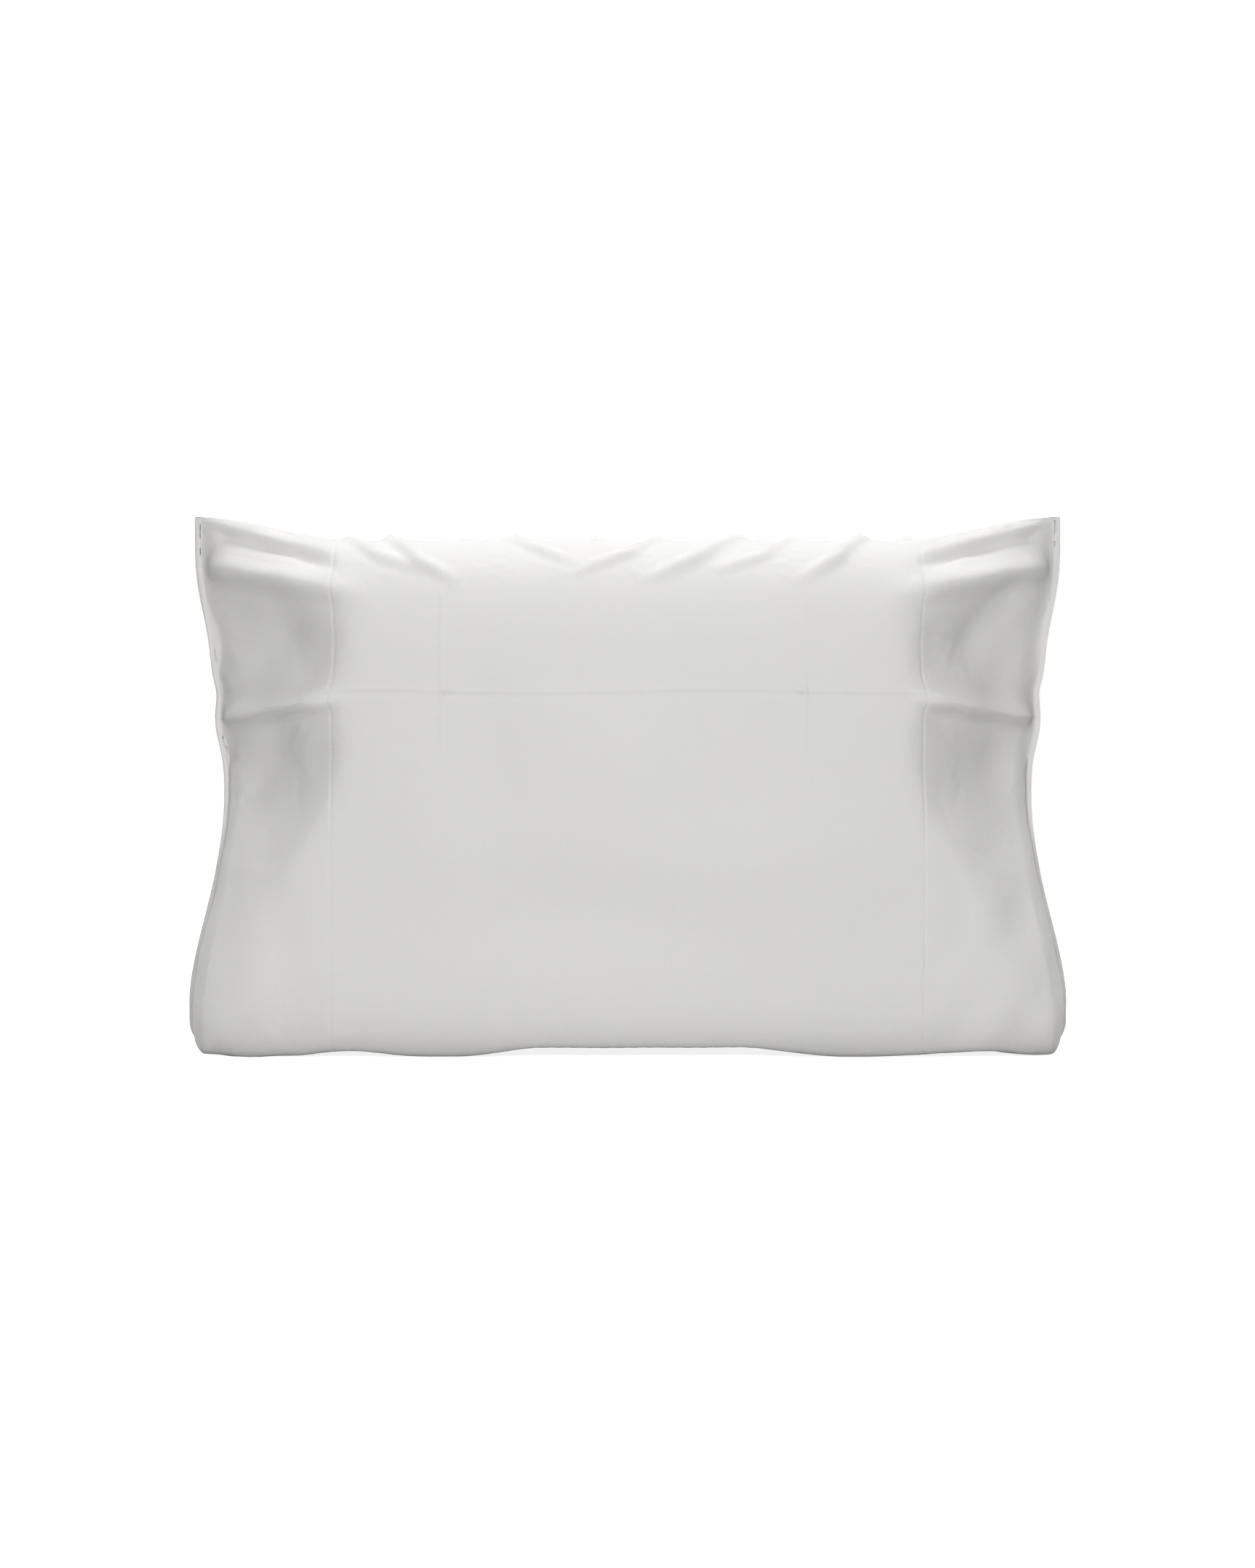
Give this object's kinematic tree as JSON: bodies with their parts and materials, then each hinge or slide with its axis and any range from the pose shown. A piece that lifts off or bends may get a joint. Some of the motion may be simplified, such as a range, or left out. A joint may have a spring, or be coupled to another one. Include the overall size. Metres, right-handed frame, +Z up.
{
  "type": "bed pillow",
  "caption": "Plump rectangular bed pillow in a plain cotton case, with a deep stitched hem at each end, stood on its long edge.",
  "frame": {"origin": "on the floor, under the middle of the pillow's bottom edge", "axes": "+X along the pillow towards the case's mouth, -Y out of its front, +Z up from the edge it stands on"},
  "size_m": [0.73, 0.172, 0.443],
  "materials": {
    "case_cloth": "matt white cotton percale, plain weave",
    "sewing_thread": "white cotton thread with a faint lustre",
    "ticking_cloth": "matt off-white cotton ticking, tightly woven",
    "fibre_fill": "matt white hollow polyester fibre",
    "label_satin": "white polyester satin, slightly glossy"
  },
  "bodies": {
    "root": {"case_front_panel": "case_cloth", "case_back_panel": "case_cloth", "left_hem_facing_front": "case_cloth", "left_hem_facing_back": "case_cloth", "right_hem_facing_front": "case_cloth", "right_hem_facing_back": "case_cloth", "tuck_flap": "case_cloth", "left_hem_stitching_front": "sewing_thread", "left_hem_stitching_back": "sewing_thread", "right_hem_stitching_front": "sewing_thread", "right_hem_stitching_back": "sewing_thread", "top_seam_allowance": "case_cloth", "bottom_seam_allowance": "case_cloth", "closed_end_seam_allowance": "case_cloth", "case_care_label": "label_satin", "ticking_front_panel": "ticking_cloth", "ticking_back_panel": "ticking_cloth", "ticking_piping": "ticking_cloth", "fibre_fill": "fibre_fill", "insert_care_label": "label_satin"}
  },
  "joints": []
}
